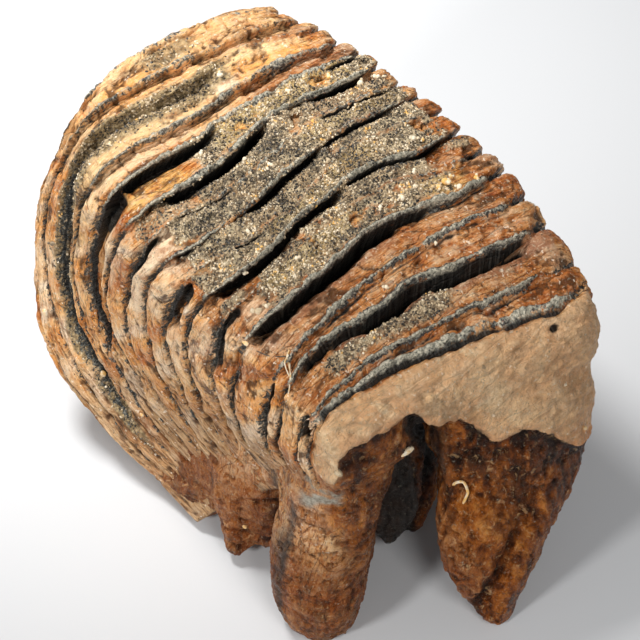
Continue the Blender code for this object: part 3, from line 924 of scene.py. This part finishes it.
def layCement(r):  # brown, orange and tan, streaked along the ridges
    broad = r.noise(62, 4, 0.62, 0.5)
    r.colour = r.ramp(broad, (0.30, (0.34, 0.105, 0.022)), (0.43, (0.62, 0.25, 0.065)),
                      (0.55, (0.76, 0.41, 0.165)), (0.72, (0.90, 0.63, 0.35)))
    ribTone = r.ramp(r.mask("tone"), (0.26, (0.54, 0.155, 0.024)), (0.42, (0.86, 0.39, 0.10)),
                     (0.56, (0.98, 0.64, 0.31)), (0.74, (1.0, 0.87, 0.68)))
    r.lay(r.range(r.mask("side"), 0, 1, 0.35, 0.75), ribTone)
    for kind, coat in patchTints.items():
        r.tint(r.mask(kind), 0, 1, 0.85, coat)
    calm = r.plus(r.plus(r.mask("golden"), r.mask("pale")), r.plus(r.mask("orange"), r.mask("mauve")), True)
    grainy = r.range(r.plus(calm, r.times(r.mask("side"), 0.45)), 0, 1, 1.0, 0.35)
    streak = r.noise(1.0, 4, 0.6, 0.3, r.stretched(r.flow, (0.8, 0.13, 0.5)))
    streakTone = r.ramp(streak, (0.32, (0.56, 0.34, 0.18)), (0.45, (0.88, 0.74, 0.60)),
                        (0.56, (1.0, 0.97, 0.93)))
    r.lay(grainy, streakTone, "MULTIPLY")
    layerTone = r.ramp(r.layer, (0.33, (0.36, 0.18, 0.09)), (0.44, (0.90, 0.74, 0.58)),
                       (0.50, (1.0, 1.0, 1.0)))
    r.lay(r.times(grainy, 0.9), layerTone, "MULTIPLY")
    r.tint(r.layer, 0.58, 0.66, 0.5, (0.92, 0.70, 0.46))
    r.tint(r.blotch, 0.54, 0.66, 0.60, (0.34, 0.090, 0.016))
    r.lay(r.times(grainy, r.range(r.hair, 0.54, 0.66, 0.0, 0.75)), (0.10, 0.032, 0.010))
    r.tint(r.fine, 0.56, 0.68, 0.45, (0.94, 0.72, 0.47))
    r.lay(r.times(grainy, r.range(r.split, 0.022, 0.006, 0.0, 0.7)), (0.060, 0.024, 0.009))
    # the bare band above the front lip
    bandTone = r.mix(r.range(broad, 0.42, 0.60), (0.88, 0.42, 0.15), (0.97, 0.68, 0.38))
    r.lay(r.times(r.band, 0.35), bandTone)
    spots = r.times(r.band, r.range(r.noise(120, 4, 0.6, 0.3), 0.54, 0.60))
    r.lay(r.times(spots, 0.75), r.mix(r.range(r.fine, 0.4, 0.6), (0.62, 0.37, 0.17), (0.95, 0.70, 0.42)))
    stain = r.times(r.band, r.range(r.noise(55, 4, 0.6, 0.4), 0.50, 0.62))
    r.lay(r.times(stain, 0.7), (0.56, 0.20, 0.045))
    footTone = r.ramp(r.layer, (0.40, (0.20, 0.10, 0.045)), (0.60, (0.56, 0.34, 0.17)))
    r.lay(r.times(r.mask("foot"), 0.75), footTone)
    warmTone = r.mix(r.range(r.layer, 0.42, 0.58), (0.50, 0.16, 0.035), (0.82, 0.38, 0.13))
    r.tint(r.mask("warm"), 0, 1, 0.5, warmTone)
    r.tint(r.mask("rim"), 0, 1, 0.75, (0.60, 0.17, 0.022))
    # painted shade in the pits, cracks and under the front lip, painted highlight on the high grains
    pitShade = r.times(r.range(r.pit, 0.58, 0.90, 0, 0.85), r.range(r.band, 0, 1, 1.0, 0.35))
    r.lay(pitShade, (0.060, 0.022, 0.007))
    r.tint(r.pit, 0.38, 0.10, 0.30, (0.95, 0.72, 0.46))
    crumbs = r.noise(760, 2, 0.5)
    r.tint(crumbs, 0.69, 0.72, 0.75, (0.045, 0.022, 0.012))
    r.tint(crumbs, 0.33, 0.30, 0.60, (0.98, 0.84, 0.66))


def layRoots(r):  # dark and wet under the lip with painted shade just under it, flaky with painted shade and highlight on the flakes, with a chalky patch and a hollow painted black as shade
    low, wet = r.mask("low"), r.mask("wet")
    across = r.noise(620, 4, 0.62, 0.8, r.stretched(r.place, (1, 1, 0.40)))
    grain = r.plus(r.times(r.rootGrain, 0.65), r.times(across, 0.35))
    rootTone = r.ramp(r.plus(r.times(r.mask("tone"), 0.35), r.times(grain, 0.65)),
                      (0.36, (0.016, 0.004, 0.001)), (0.45, (0.12, 0.027, 0.003)),
                      (0.54, (0.36, 0.095, 0.010)), (0.68, (0.72, 0.28, 0.055)))
    darkened = r.mix(0.35, rootTone, (0.030, 0.010, 0.004))
    rootTone = r.mix(r.range(r.noise(62, 3, 0.6, 0.3), 0.44, 0.62, 0, 0.75), rootTone, darkened)
    r.lay(low, r.mix(0.35, rootTone, r.colour))
    r.lay(r.times(low, 0.7), (0.72, 0.54, 0.40), "MULTIPLY")
    r.tint(wet, 0.15, 0.75, 0.95, rootTone)
    # painted shade in the pits and under the front lip, near black
    pitShade = r.times(r.range(r.pit, 0.58, 1.0, 0, 0.85), r.math("MAXIMUM", wet, r.times(low, 0.6)))
    r.lay(pitShade, (0.012, 0.005, 0.003))
    # painted shade in the crevices between the flakes
    flakeShade = r.times(r.times(r.skin, r.range(r.band, 0, 1, 1, 0.55)), r.range(r.flake, 0.45, 0.36, 0, 0.75))
    r.lay(flakeShade, (0.070, 0.020, 0.005))
    r.lay(r.times(r.band, 0.32), (1.0, 0.74, 0.46))
    # painted highlight on the flakes' tops
    r.lay(r.times(r.skin, r.range(r.flake, 0.56, 0.66, 0, 0.45)), (0.92, 0.56, 0.26))
    chalk = r.ramp(r.noise(700, 4, 0.7), (0.35, (0.22, 0.18, 0.13)), (0.62, (0.52, 0.47, 0.38)))
    r.lay(r.mask("chalk"), chalk)
    # painted near-black shade in the hollow between and behind the roots, with faint stripes
    striped = r.noise(500, 4, 0.7, 0.0, r.stretched(r.place, (1, 1, 0.12)))
    striped = r.ramp(striped, (0.40, (0.010, 0.009, 0.008)), (0.62, (0.055, 0.050, 0.044)))
    r.lay(r.times(r.mask("hollowShade"), 0.95), striped)


def laySand(r):  # olive dirt, and packed sand of mixed grains with clumps and ochre
    dirt = r.ramp(r.noise(600, 4, 0.7), (0.35, (0.060, 0.045, 0.022)), (0.50, (0.27, 0.19, 0.095)),
                  (0.68, (0.60, 0.45, 0.24)))
    r.lay(r.mask("dirt"), dirt)
    speck = r.cells(2100, output="Color")
    mixed = r.plus(r.range(speck, 0, 1, 0, 0.5), r.range(r.noise(380, 3, 0.6), 0.3, 0.7, 0, 0.5))
    sand = r.ramp(mixed, (0.18, (0.050, 0.038, 0.024)), (0.40, (0.20, 0.150, 0.092)),
                  (0.60, (0.44, 0.345, 0.21)), (0.85, (0.78, 0.65, 0.44)))
    sand = r.mix(r.range(r.noise(130, 4, 0.7), 0.48, 0.62, 0, 0.55), sand, (0.46, 0.27, 0.12))
    clump = r.noise(230, 3, 0.6, 0.4)
    sand = r.mix(r.range(clump, 0.56, 0.64, 0, 0.60), sand, (0.78, 0.62, 0.38))
    sand = r.mix(r.range(clump, 0.44, 0.36, 0, 0.70), sand, (0.050, 0.042, 0.034))
    ochre = r.mix(r.range(speck, 0, 1), (0.38, 0.22, 0.06), (0.88, 0.64, 0.26))
    sand = r.mix(r.range(r.mask("ochre"), 0, 1, 0, 0.65), sand, ochre)
    r.lay(r.mask("sand"), sand)
    r.tint(r.mask("grey"), 0, 1, 0.6, r.mix(0.5, sand, (0.045, 0.048, 0.048)))


def layEnamel(r):  # dark speckled slopes, pale ragged crests, and painted black shade in the gaps in front of them
    slope = r.ramp(r.speckle, (0.40, (0.008, 0.010, 0.011)), (0.50, (0.045, 0.052, 0.054)),
                   (0.60, (0.22, 0.22, 0.19)), (0.72, (0.60, 0.55, 0.44)))
    crest = r.ramp(r.speckle, (0.34, (0.060, 0.065, 0.060)), (0.43, (0.27, 0.26, 0.20)),
                   (0.54, (0.55, 0.49, 0.37)), (0.66, (0.88, 0.79, 0.61)))
    ragged = r.plus(r.mask("enamel"), r.range(r.noise(620, 4, 0.7), 0.3, 0.7, -0.50, 0.50))
    r.tint(ragged, 0.46, 0.60, 0.95, slope)
    broken = r.plus(r.mask("edge"), r.range(r.fine, 0.3, 0.7, -0.45, 0.45))
    r.tint(broken, 0.28, 0.60, 0.85, crest)
    striped = r.noise(1.0, 2, 0.6, 0.0, r.stretched(r.flow, (0.0, 1.6, 0.05)))
    striped = r.ramp(striped, (0.45, (0.006, 0.006, 0.006)), (0.66, (0.060, 0.056, 0.048)))
    # painted near-black shade in the gaps, grooves and holes, with faint stripes
    gap = r.plus(r.mask("creviceShade"), r.range(r.blotch, 0.3, 0.7, -0.18, 0.18))
    r.tint(gap, 0.30, 0.66, 0.97, striped)


def fossilMaterial():
    r = Recipe("fossil")
    # what more than one finish reads
    r.flow = r.mask("flow", "Vector")
    r.band, r.pit = r.mask("band"), r.mask("pit")
    r.skin = r.plus(r.plus(r.band, r.mask("low")), r.mask("wet"), True)
    r.hair = r.noise(1.0, 3, 0.6, 0.2, r.stretched(r.flow, (2.8, 0.8, 1.0)))
    r.layer = r.noise(1.0, 5, 0.65, 0.5, r.stretched(r.flow, (1.5, 0.24, 0.8)))
    r.blotch = r.noise(210, 4, 0.65, 0.4)
    r.fine = r.noise(1000, 3, 0.65)
    r.flake = r.noise(430, 6, 0.72, 1.0)
    r.speckle = r.noise(1300, 4, 0.8)
    r.rootGrain = r.noise(230, 5, 0.66, 1.2, r.stretched(r.place, (1, 1, 0.24)))
    warped = r.stretched(r.flow, (0.24, 0.05, 0.12))
    bent = r.mix(0.25, warped, r.noise(1.6, 2.0, 0.5, 0.0, warped, "Color"), "ADD")
    r.split = r.cells(1.0, bent, feature="DISTANCE_TO_EDGE")
    for finish in (layCement, layRoots, laySand, layEnamel):
        finish(r)
    roughness = r.mix(r.mask("sand"), r.range(r.noise(420, 3), 0.35, 0.65, 0.24, 0.58), 0.75)
    glossy = r.range(r.speckle, 0.4, 0.6, 0.18, 0.42)
    roughness = r.mix(r.range(r.mask("enamel"), 0.3, 0.8, 0, 0.8), roughness, glossy)
    roughness = r.mix(r.mask("wet"), roughness, r.range(r.blotch, 0.4, 0.6, 0.17, 0.40))
    r.shader.inputs["Specular IOR Level"].default_value = 0.20
    height = r.plus(r.times(r.layer, 1.3), r.times(r.noise(1300, 4, 0.65), 0.9))
    for relief in (r.range(r.split, 0.05, 0.0, 0.0, -0.5), r.times(r.hair, -0.5),
                   r.times(r.mask("low"), r.times(r.rootGrain, 2.0)),
                   r.times(r.skin, r.times(r.flake, 4.0)),
                   r.times(r.mask("sand"), r.range(r.cells(1700), 0, 1, 1.2, 0))):
        height = r.plus(height, relief)
    return r.finish(roughness, height, 0.85, 0.6)


grainBuild = {
    "perSquareMetre": 3.0e6,
    "size": 0.34,
    "seed": 5,
    "smallest": (0.4, 0.4, 0.35),     # a grain's shape, as shares of the size
    "largest": (1.8, 1.4, 1.2),
    "tones": (0.10, 0.86),
}


def sedimentMaterial():
    r = Recipe("sediment grains")
    tone = r.plus(r.mask("tone"), r.range(r.noise(700, 2), 0.3, 0.7, -0.08, 0.08))
    r.colour = r.ramp(tone, (0.05, (0.020, 0.018, 0.016)), (0.28, (0.13, 0.098, 0.062)),
                      (0.50, (0.38, 0.28, 0.165)), (0.70, (0.62, 0.48, 0.30)),
                      (0.86, (0.86, 0.76, 0.58)), (0.97, (0.80, 0.46, 0.13)))
    return r.finish(r.range(tone, 0, 1, 0.35, 0.7), r.noise(2500, 2), 0.3, 0.2)


def grainTree(material):  # scatters low stones over the loose sediment
    tree = bpy.data.node_groups.new("grains", "GeometryNodeTree")
    for name, kind in (("Geometry", "Geometry"), ("Density", "Float"), ("Size", "Float"), ("Seed", "Int")):
        tree.interface.new_socket(name, in_out="INPUT", socket_type="NodeSocket" + kind)
    tree.interface.new_socket("Geometry", in_out="OUTPUT", socket_type="NodeSocketGeometry")

    def add(kind, inputs, **settings):  # a node; an input is a number, a name or another node's output
        node = tree.nodes.new(kind)
        for key, value in settings.items():
            setattr(node, key, value)
        for key, value in inputs.items():
            if isinstance(value, bpy.types.NodeSocket):
                tree.links.new(value, node.inputs[key])
            else:
                node.inputs[key].default_value = value
        return node.outputs

    def chance(kind, low, high, seed):
        node = tree.nodes.new("FunctionNodeRandomValue")
        node.data_type = kind
        for socket, value in zip([i for i in node.inputs if i.enabled], (low, high)):
            socket.default_value = value
        node.inputs["Seed"].default_value = seed
        return [o for o in node.outputs if o.enabled][0]

    given = tree.nodes.new("NodeGroupInput").outputs
    loose = add("GeometryNodeInputNamedAttribute", {"Name": "loose"}, data_type="FLOAT")["Attribute"]
    density = add("ShaderNodeMath", {0: given["Density"], 1: loose}, operation="MULTIPLY")[0]
    scatter = {"Mesh": given["Geometry"], "Density": density, "Seed": given["Seed"]}
    spots = add("GeometryNodeDistributePointsOnFaces", scatter)["Points"]
    stone = add("GeometryNodeMeshIcoSphere", {"Radius": 1.0, "Subdivisions": 1})["Mesh"]
    turn = chance("FLOAT_VECTOR", (0, 0, 0), (6.2, 6.2, 6.2), 3)
    shape = chance("FLOAT_VECTOR", grainBuild["smallest"], grainBuild["largest"], 8)
    size = add("ShaderNodeVectorMath", {0: shape, "Scale": given["Size"]}, operation="SCALE")[0]
    laidOut = {"Points": spots, "Instance": stone, "Rotation": turn, "Scale": size}
    grains = add("GeometryNodeInstanceOnPoints", laidOut)["Instances"]
    # light and dark drift together over the face, with some chance in each grain
    drift = add("ShaderNodeTexNoise", {"Scale": 140.0})["Fac"]
    spread = {"Value": drift, "From Min": 0.35, "From Max": 0.65, "To Min": -0.34, "To Max": 0.20}
    drift = add("ShaderNodeMapRange", spread)["Result"]
    tone = add("ShaderNodeMath", {0: drift, 1: chance("FLOAT", *grainBuild["tones"], 12)}, use_clamp=True)[0]
    kept = {"Geometry": grains, "Name": "tone", "Value": tone}
    grains = add("GeometryNodeStoreNamedAttribute", kept, data_type="FLOAT", domain="INSTANCE")["Geometry"]
    grains = add("GeometryNodeRealizeInstances", {"Geometry": grains})["Geometry"]
    grains = add("GeometryNodeSetMaterial", {"Geometry": grains, "Material": material})["Geometry"]
    add("NodeGroupOutput", {"Geometry": grains})
    return tree


def makeGrains(tree, ground, name, seed):
    piece = ground.copy()
    piece.name = name
    bpy.context.scene.collection.objects.link(piece)
    nodes = piece.modifiers.new("grains", "NODES")
    nodes.node_group = tree
    density = grainBuild["perSquareMetre"] * 1.0
    values = {"Density": density, "Size": grainBuild["size"] * mm, "Seed": seed}
    for item in tree.interface.items_tree:
        if item.in_out == "INPUT" and item.name in values:
            nodes[item.identifier] = values[item.name]
    asMesh(piece)
    return piece


# Stones caught in the worn face: place along the row, way round, size in millimetres, tone.
stones = (
    (2.30, 0.11, 1.5, 0.90), (2.22, 0.21, 2.1, 0.97), (2.16, 0.19, 1.4, 0.97), (2.26, 0.235, 1.3, 0.90),
    (2.00, 0.23, 1.5, 0.86), (2.04, 0.29, 1.4, 0.97), (2.36, 0.15, 1.2, 0.80), (3.23, 0.225, 1.6, 0.86),
    (3.15, 0.25, 1.1, 0.97), (4.75, 0.25, 1.6, 0.86), (4.78, 0.31, 1.4, 0.86), (4.70, 0.34, 1.1, 0.80),
    (5.10, -0.145, 1.2, 0.88), (2.15, -0.33, 1.9, 0.72), (2.12, -0.30, 1.3, 0.74), (2.34, 0.06, 1.2, 0.86),
    (2.44, -0.16, 1.3, 0.82), (1.23, -0.05, 1.1, 0.80), (2.62, 0.17, 1.2, 0.86), (3.72, 0.05, 1.3, 0.70),
    (4.25, -0.05, 1.1, 0.86), (4.62, -0.08, 1.3, 0.84), (5.15, 0.20, 1.5, 0.97), (5.22, 0.10, 1.2, 0.86),
    (6.15, 0.02, 1.6, 0.88), (3.42, -0.20, 1.1, 0.82), (2.86, -0.28, 1.2, 0.84), (1.30, 0.10, 1.0, 0.86),
    (6.45, -0.15, 1.2, 0.60), (6.60, -0.60, 1.4, 0.40),
)
# Loose bits on the tooth: place in millimetres, half sizes, tone.
bits = (
    ((5.5, -19.0, -31.0), (0.9, 2.3, 1.0), 0.88), ((19.0, 29.0, -48.0), (0.7, 0.7, 0.7), 0.92),
    ((-101, -51, -74), (1.0, 1.0, 1.2), 0.92), ((-122, -55.5, -60), (0.9, 0.9, 1.6), 0.88),
    ((-34, -44, 0), (1.3, 0.7, 0.5), 0.90), ((-41, -46, -92), (0.9, 0.6, 0.6), 0.92),
    ((2, -43, -21), (1.2, 0.9, 1.0), 0.60), ((-84, -50, -78), (0.8, 0.5, 0.6), 0.92),
    ((12, 24, -30), (0.5, 0.6, 0.5), 0.86),
)
# The small tube and the threads: points in millimetres, thickness, tone.
threads = (
    (((6, -8, -56), (7.3, -7, -54.3), (8.8, -6, -54), (10.2, -6, -55), (10.8, -6.3, -57), (10.2, -7, -60)),
     0.42, 0.93),
    (((-30, -44, 0.5), (-27, -43, 1.2), (-24, -41, 1.6), (-21, -39, 2.2)), 0.13, 0.12),
    (((-23, -38, 2), (-21.5, -40, 1.2), (-19.5, -41.5, 0), (-17.5, -42.5, -1)), 0.22, 0.90),
    (((-22, -39, 2), (-20, -42, 2), (-18.5, -42, -1)), 0.16, 0.88),
    (((-20, -40, 1), (-17, -43, -3), (-16.5, -44, -7)), 0.14, 0.88),
)
threadSides = 7


def sheath(pieces):  # a search tree over pieces, to lay small things on their skin
    points, faces = [], []
    for piece in pieces:
        base = len(points)
        points += [v.co.copy() for v in piece.data.vertices]
        faces += [[base + i for i in f.vertices] for f in piece.data.polygons]
    return BVHTree.FromPolygons(points, faces)


def laid(tree, place, lift):  # the nearest point of the skin, lifted, in millimetres
    spot, facing, _, _ = tree.find_nearest(toWorld(np.array(place, float)).tolist())
    return np.array(spot) / mm - restShift + lift * np.array(facing)


def addPebble(bm, tones, centre, size, tone, number):
    made = bmesh.ops.create_icosphere(bm, subdivisions=2, radius=1.0)["verts"]
    local = np.array([v.co[:] for v in made])
    grain = 1 + 0.22 * noise(local + 7.7 * number, 0.8, 400, 2)
    for vert, spot in zip(made, toWorld(centre + local * grain[:, None] * np.array(size)).tolist()):
        vert.co = spot
    tones.extend([tone] * len(made))


def addThread(bm, tones, path, thick, tone):  # a closed round thread, thinner at its ends
    at = np.linspace(0, len(path) - 1, 22)
    line = np.stack([curve(np.arange(len(path)), path[:, c], at) for c in range(3)], -1)
    along = np.gradient(line, axis=0)
    along = along / np.linalg.norm(along, axis=1)[:, None]
    sideways = np.cross(along, np.array((0.3, 0.2, 0.93)))
    sideways = sideways / np.linalg.norm(sideways, axis=1)[:, None]
    up = np.cross(along, sideways)
    angles = np.linspace(0, 2 * math.pi, threadSides + 1)[:-1]
    rings = []
    for k, centre in enumerate(line):
        wide = thick * (0.55 if k in (0, len(line) - 1) else 1.0)
        ring = [centre + wide * (math.cos(a) * sideways[k] + math.sin(a) * up[k]) for a in angles]
        rings.append([bm.verts.new(toWorld(spot).tolist()) for spot in ring])
        tones.extend([tone] * threadSides)
    for first, second in zip(rings, rings[1:]):
        for j in range(threadSides):
            k = (j + 1) % threadSides
            bm.faces.new((first[j], second[j], second[k], first[k]))
    bm.faces.new(rings[0])
    bm.faces.new(rings[-1][::-1])


def makeBits(tree):
    bm = bmesh.new()
    tones = []
    for number, (plate, way, size, tone) in enumerate(stones):
        centre = laid(tree, crownPoint(np.array(plate), np.array(way)), 0.25 * size)
        for k in range(3):      # a stone is one pebble with two smaller ones stuck to it
            turn = (math.sin(number * 5 + k * 2.1), math.cos(number * 3 + k * 2.1), 0.2)
            shift = 0.55 * size * np.array(turn) * (k > 0)
            radii = (0.50 * size * (1 - 0.22 * k),) * 3
            addPebble(bm, tones, centre + shift, radii, tone - 0.05 * k, number + 40 * k)
    for number, (place, size, tone) in enumerate(bits):
        addPebble(bm, tones, laid(tree, place, 0.3 * min(size)), size, tone, 200 + number)
    for path, thick, tone in threads:
        addThread(bm, tones, np.array([laid(tree, p, thick * 1.2) for p in path]), thick, tone)
    bmesh.ops.recalc_face_normals(bm, faces=bm.faces)
    mesh = bpy.data.meshes.new("bits")
    bm.to_mesh(mesh)
    bm.free()
    storeMasks(mesh, {"tone": np.array(tones)})
    return addObject("bits", mesh)


print("tooth: crown plates")
fossil = fossilMaterial()
tooth = makeCrown()
print("tooth: cement and roots")
tooth += makeBase()
for piece in tooth:
    piece.data.materials.clear()
    piece.data.materials.append(fossil)
print("tooth: grains, stones and bits")
sediment = sedimentMaterial()
grains = grainTree(sediment)
small = []
for number, plate in enumerate(tooth[:crownDetail["plates"]]):
    piece = makeGrains(grains, plate, f"grains{number + 1}", grainBuild["seed"] + number)
    if len(piece.data.polygons):
        small.append(piece)
    else:
        bpy.data.objects.remove(piece)      # no sand on this plate
scraps = makeBits(sheath(tooth))
scraps.data.materials.append(sediment)
small.append(scraps)
for piece in tooth + small:
    keepInside(piece)


studio = {
    "floor": (0.68, 0.685, 0.69, 1),
    "sky": (0.93, 0.96, 1.0, 1),
    "skyStrength": 0.22,
    "lens": 117.0,
    "eye": (0.3003, -0.2277, 0.5264),
    "lookAt": (-0.0008, -0.0016, 0.060),
    "roll": -3.14,            # degrees
}

# Lights: name, place, target, size, power, and a spot's cone in degrees, or 0 for a soft disc.
lights = (
    ("key", (-0.20, -0.06, 0.58), (-0.19, 0.10, 0.03), 0.07, 18, 74),
    ("side", (0.08, -0.62, 0.40), (0, 0, 0.06), 0.12, 2.4, 0),
    ("front", (0.50, -0.12, 0.60), (0, 0, 0.06), 0.25, 1.6, 0),
)


def aimed(name, data, place, target, roll=0.0):  # an object at a place that looks at a target
    thing = addObject(name, data)
    thing.location = place
    direction = Vector(target) - thing.location
    turn = direction.to_track_quat("-Z", "Y") @ Quaternion((0, 0, 1), math.radians(roll))
    thing.rotation_euler = turn.to_euler()
    return thing


def addFloor():
    bpy.ops.mesh.primitive_plane_add(size=6.0, location=(0, 0, 0))
    floor = bpy.context.object
    floor.name = "floor"
    material = bpy.data.materials.new("pale floor")
    material.use_nodes = True
    shader = material.node_tree.nodes["Principled BSDF"]
    shader.inputs["Base Color"].default_value = studio["floor"]
    shader.inputs["Roughness"].default_value = 0.6
    floor.data.materials.append(material)


def addCamera():
    lens = bpy.data.cameras.new("camera")
    lens.lens = studio["lens"]
    lens.sensor_width = 36.0
    bpy.context.scene.camera = aimed("camera", lens, studio["eye"], studio["lookAt"], studio["roll"])


def addWorld():
    world = bpy.data.worlds.new("studio")
    world.use_nodes = True
    world.node_tree.nodes["Background"].inputs["Color"].default_value = studio["sky"]
    world.node_tree.nodes["Background"].inputs["Strength"].default_value = studio["skyStrength"]
    bpy.context.scene.world = world


def addLight(name, place, target, size, power, cone):
    light = bpy.data.lights.new(name, "SPOT" if cone else "AREA")
    if cone:
        light.spot_size = math.radians(cone)
        light.spot_blend = 1.0
        light.shadow_soft_size = size
    else:
        light.shape = "DISK"
        light.size = size
    light.energy = power
    aimed(name, light, place, target)


print("tooth: floor, camera and lights")
addFloor()
addCamera()
addWorld()
for light in lights:
    addLight(*light)
bpy.context.scene.view_settings.view_transform = "Standard"

for piece in tooth:
    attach(piece, "root")
    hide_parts("tooth")
for piece in small:
    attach(piece, "root")
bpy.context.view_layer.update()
for piece in tooth + small:
    print(piece.name, len(piece.data.polygons))
print("tooth: done")
